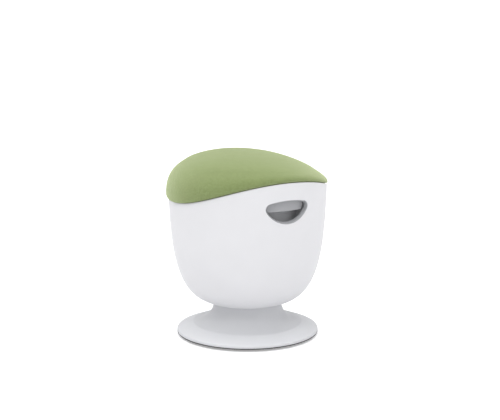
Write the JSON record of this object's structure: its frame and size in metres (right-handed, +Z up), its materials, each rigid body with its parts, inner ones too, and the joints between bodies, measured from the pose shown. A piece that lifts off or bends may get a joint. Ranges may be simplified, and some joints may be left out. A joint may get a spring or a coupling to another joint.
{
  "type": "rocking stool",
  "caption": "Height-adjustable rocking stool: a padded saddle seat on a cup-shaped shell that slides over a weighted trumpet base with a domed rubber sole.",
  "frame": {"origin": "on the lift axis, at the flat in the middle of the sole, where the stool meets the floor", "axes": "+Z up along the lift axis, +Y the way the sitter faces, +X to the sitter's right, on the side of the hand-hold"},
  "size_m": [0.3756, 0.3756, 0.435],
  "materials": {
    "sole_rubber": "matte moulded rubber",
    "cast_weight": "rough cast, painted",
    "grey_plastic": "fine satin texture",
    "white_plastic": "fine satin texture",
    "lining_plastic": "fine matte texture",
    "trim_plastic": "fine matte texture",
    "bush_plastic": "glass-filled, dull",
    "black_steel": "black powder coat",
    "zinc_steel": "zinc plated",
    "bright_steel": "ground and polished",
    "brass": "machined",
    "plywood": "birch veneer",
    "foam": "open-cell polyurethane foam",
    "seat_fabric": "fine woven wool blend"
  },
  "bodies": {
    "base": {"rocker_sole": "sole_rubber", "ballast_plate": "cast_weight", "base_cover": "grey_plastic", "base_screws": "zinc_steel", "column_socket": "black_steel", "socket_bolts": "zinc_steel", "stand_tube": "black_steel", "guide_bush": "bush_plastic", "lower_race": "bright_steel"},
    "rod": {"piston_rod": "bright_steel", "piston": "brass", "piston_seal": "sole_rubber", "upper_race": "bright_steel", "ball_cage": "brass", "thrust_balls": "bright_steel", "rubber_buffer": "sole_rubber", "rod_clip": "zinc_steel"},
    "seat": {"gas_cylinder": "black_steel", "rod_guide": "bush_plastic", "valve_body": "brass", "taper_hub": "black_steel", "mounting_plate": "black_steel", "seat_support": "bush_plastic", "plate_bolts": "zinc_steel", "tee_nuts": "zinc_steel", "seat_pan": "plywood", "foam_pad": "foam", "seat_cover": "seat_fabric", "cover_staples": "zinc_steel", "shell": "white_plastic", "shell_screws": "zinc_steel", "grip_bezel": "trim_plastic", "hand_cup": "lining_plastic", "lever_ears": "black_steel", "lever_pin": "zinc_steel"},
    "lever": {"lever_arm": "black_steel", "lever_paddle": "trim_plastic", "paddle_screws": "zinc_steel"},
    "release_button": {"release_pin": "bright_steel"}
  },
  "joints": [
    {"name": "seat_swivel", "type": "hinge", "parent": "base", "child": "rod", "pos_m": [0, 0, 0.034], "axis": [0, 0, 1], "continuous": true},
    {"name": "seat_lift", "type": "slide", "parent": "rod", "child": "seat", "axis": [0, 0, 1], "range_m": [0, 0.13]},
    {"name": "lever_pull", "type": "hinge", "parent": "seat", "child": "lever", "pos_m": [0.02187, 0.00238, 0.357], "axis": [0.108, -0.9942, 0], "range_deg": [0, 5], "stiffness_Nm_per_rad": 30, "springref_deg": -2.86},
    {"name": "pin_press", "type": "slide", "parent": "seat", "child": "release_button", "axis": [0, 0, -1], "range_m": [0, 0.002]}
  ],
  "couplings": [
    {"joint": "pin_press", "follows": "lever_pull", "m_per_rad": 0.022}
  ]
}
